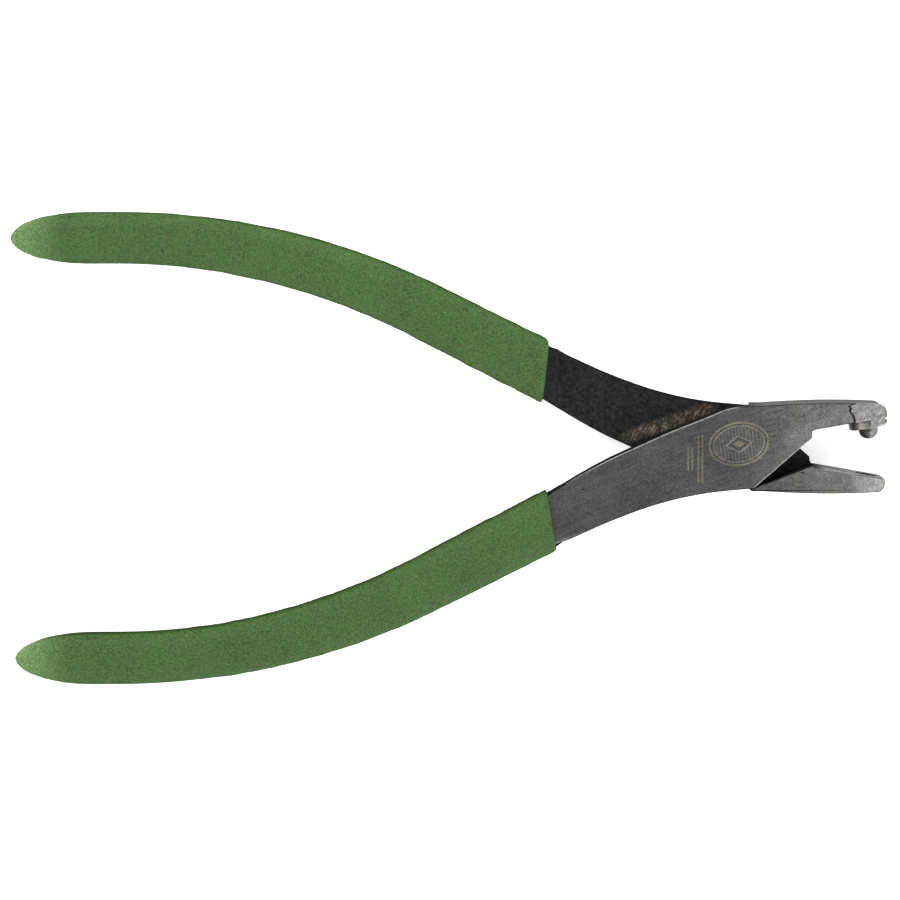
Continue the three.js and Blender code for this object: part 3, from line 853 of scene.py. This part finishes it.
def punch(material):
    """Shank, flange with rounded rims, and a domed pilot on a fillet, along +Y out of the jaw face."""
    rim = FLANGE_RADIUS - FLANGE_CORNER
    fillet = (PILOT_RADIUS + PILOT_FILLET, FLANGE_THICKNESS + PILOT_FILLET)
    profile = [(SHANK_RADIUS, -SHANK_DEPTH), (SHANK_RADIUS, FLANGE_LIFT)]
    profile += rounded_corner((rim, FLANGE_LIFT + FLANGE_CORNER), FLANGE_CORNER, -90, 0, CORNER_STEPS)
    profile += rounded_corner((rim, FLANGE_THICKNESS - FLANGE_CORNER), FLANGE_CORNER, 0, 90, CORNER_STEPS)
    profile += rounded_corner(fillet, PILOT_FILLET, -90, -180, FILLET_STEPS)
    for i in range(DOME_STEPS):
        angle = math.pi / 2 * i / DOME_STEPS
        profile.append((PILOT_RADIUS * math.cos(angle), PILOT_SHOULDER + PILOT_DOME * math.sin(angle)))
    profile.append((END_RADIUS, PUNCH_LENGTH))
    seat = Matrix.Translation(place(PUNCH_X, PUNCH_Y, 0, 1))
    upright = seat @ Matrix.Rotation(math.pi + JAW_FACE_ANGLE, 4, "Z")
    return turned("punch_stud", profile, upright, material)


def rivet(material):
    """Flush head on the underside and a shank that ends short of the top face."""
    top = THICKNESS / MM - RIVET_COVER
    profile = [*HEAD_PROFILE, (RIVET_RADIUS, top - RIVET_CHAMFER), (RIVET_RADIUS - RIVET_CHAMFER, top)]
    upright = Matrix.Translation((PIVOT.x, PIVOT.y, 0)) @ Matrix.Rotation(math.pi / 2, 4, "X")
    return turned("rivet_pin", profile, upright, material)


# Braze deposit


FILLER_DEPTH = 0.6 * MM
FILLER_LOWER_Y = 4.8 * MM
SAME_LEVEL = 0.02 * MM
LET_DOWN = 0.27 * MM
MELT_VOXEL = 0.09 * MM
MELT_SINK = 0.05
MELT_LUMPS = ((1.1, 0.05), (3.1, 0.03))
SWAY_WAVES, SWAY = 1.3, 0.06


def filler(material):
    """The CAD solid let down on to the jaw, then melted over and left a little lumpy."""
    made = copy_of("punch_filler", "braze_deposit")
    bottom = THICKNESS - FILLER_DEPTH
    for vertex in made.data.vertices:
        if abs(vertex.co.z - bottom) < SAME_LEVEL and vertex.co.y > PIVOT.y + FILLER_LOWER_Y:
            vertex.co.z -= LET_DOWN
    bm = bmesh.new()
    bm.from_mesh(made.data)
    bmesh.ops.remove_doubles(bm, verts=bm.verts, dist=WELD)
    bm.to_mesh(made.data)
    bm.free()
    remesh = made.modifiers.new("melt", "REMESH")
    remesh.mode = "VOXEL"
    remesh.voxel_size = MELT_VOXEL
    smooth = made.modifiers.new("soften", "SMOOTH")
    smooth.iterations = 2
    smooth.factor = 0.5
    apply_modifiers(made)
    for vertex in made.data.vertices:
        p = vertex.co / MM
        lump = sum(noise.noise(p * waves) * height for waves, height in MELT_LUMPS)
        vertex.co.z += (lump - MELT_SINK) * MM
        vertex.co.x += noise.noise(p * SWAY_WAVES + Vector((5, 0, 0))) * SWAY * MM
    made.data.materials.clear()
    made.data.materials.append(material)
    shade_smooth(made)
    return made


# The object; a dip line is its x on the handle line and how far back it leans per millimetre across


FRONT_DIP_LINE = (-34.7, 0.17)
REAR_DIP_LINE = (-35.9, 0.12)

lap = black_lap()
front_steel = ground_steel("ground_steel_front", 1, True)
front_edge = edge_steel("edge_steel_front", 1)
front_wall = oxide_wall("oxide_wall_front", 1)
front_forging = lever("front_lever", 1, (front_steel, front_edge, front_wall, lap))
finish_piece(front_forging, "front_half", "lever_steel", "front_lever")
rear_steel = ground_steel("ground_steel_rear", -1, False)
rear_edge = edge_steel("edge_steel_rear", -1)
rear_wall = oxide_wall("oxide_wall_rear", -1)
rear_forging = lever("rear_lever", -1, (rear_steel, rear_edge, rear_wall, lap))
finish_piece(rear_forging, "rear_half", "lever_steel", "rear_lever")

front_coat = grip("front_coat", 1, *FRONT_DIP_LINE, dipped_vinyl("vinyl_front", 1))
finish_piece(front_coat, "front_half", "grip_vinyl", "front_grip")
rear_coat = grip("rear_coat", -1, *REAR_DIP_LINE, dipped_vinyl("vinyl_rear", -1))
finish_piece(rear_coat, "rear_half", "grip_vinyl", "rear_grip")

stud = punch(punch_steel())
finish_piece(stud, "front_half", "punch_steel", "crimp_punch")
pin = rivet(rivet_steel())
finish_piece(pin, "front_half", "rivet_steel", "pivot_rivet")
deposit = filler(braze_steel())
finish_piece(deposit, "front_half", "braze_filler", "punch_filler")


# Stage, light and camera


FLOOR_CORNERS = ((-3.0, -3.0), (3.0, -3.0), (3.0, 3.0), (-3.0, 3.0))
WALL_BRIGHTNESS = 2.3
CEILING_BRIGHTNESS = 0.12
CEILING_START = 0.5
CEILING_FULL = 0.9
SOFTBOX_SIZE = 0.5
CAMERA_DISTANCE = 0.8
CAMERA_TOWARDS_Y = math.sin(math.radians(5.5))
CAMERA_TOWARDS_X = math.sin(math.radians(-1.15))
CAMERA_ROLL = math.radians(-0.09)
AIM_BELOW_MIDDLE = 0.46 * MM
FRAME_WIDTH = 0.17123


def studio_world():
    """Bright all round and dark overhead, so that flat steel facing up reads as grey."""
    world = bpy.data.worlds.new("studio")
    world.use_nodes = True
    tree = world.node_tree
    direction = tree.nodes.new("ShaderNodeTexCoord")
    parts = tree.nodes.new("ShaderNodeSeparateXYZ")
    tree.links.new(direction.outputs["Generated"], parts.inputs[0])
    level = tree.nodes.new("ShaderNodeMapRange")
    level.interpolation_type = "SMOOTHSTEP"
    tree.links.new(parts.outputs["Z"], level.inputs["Value"])
    level.inputs["From Min"].default_value = CEILING_START
    level.inputs["From Max"].default_value = CEILING_FULL
    level.inputs["To Min"].default_value = WALL_BRIGHTNESS
    level.inputs["To Max"].default_value = CEILING_BRIGHTNESS
    tree.links.new(level.outputs[0], tree.nodes["Background"].inputs["Strength"])
    tree.nodes["Background"].inputs["Color"].default_value = (1, 1, 1, 1)
    bpy.context.scene.world = world


def softbox(name, spot, power):
    """A square light aimed at the origin."""
    data = bpy.data.lights.new(name, "AREA")
    data.size = SOFTBOX_SIZE
    data.energy = power
    light = bpy.data.objects.new(name, data)
    light.location = spot
    light.rotation_euler = (-Vector(spot)).to_track_quat("-Z", "Y").to_euler()
    light.visible_camera = False
    bpy.context.scene.collection.objects.link(light)


def overhead_camera():
    """A long-lens camera over the tool, a little towards +Y and -X, with X to the right."""
    low, high = CAD_BOX
    target = Vector(((low.x + high.x) / 2, (low.y + high.y) / 2 - AIM_BELOW_MIDDLE, MIDDLE))
    back = Vector((CAMERA_TOWARDS_X, CAMERA_TOWARDS_Y, 0))
    back.z = math.sqrt(1 - back.length_squared)
    right = Vector((0, 1, 0)).cross(back).normalized()
    facing = Matrix((right, back.cross(right), back)).transposed().to_4x4()
    data = bpy.data.cameras.new("camera")
    data.lens = data.sensor_width * CAMERA_DISTANCE / FRAME_WIDTH
    camera = bpy.data.objects.new("camera", data)
    camera.matrix_world = (Matrix.Translation(target + back * CAMERA_DISTANCE) @ facing
                           @ Matrix.Rotation(CAMERA_ROLL, 4, "Z"))
    bpy.context.scene.collection.objects.link(camera)
    bpy.context.scene.camera = camera


floor = object_from("floor", [(x, y, 0) for x, y in FLOOR_CORNERS], [(0, 1, 2, 3)])
floor.data.materials.append(backdrop_paper())
studio_world()
softbox("key", (-0.45, 0.65, 0.75), 6.0)
softbox("fill", (0.6, -0.35, 0.6), 3.0)
overhead_camera()
bpy.context.scene.view_settings.view_transform = "Standard"
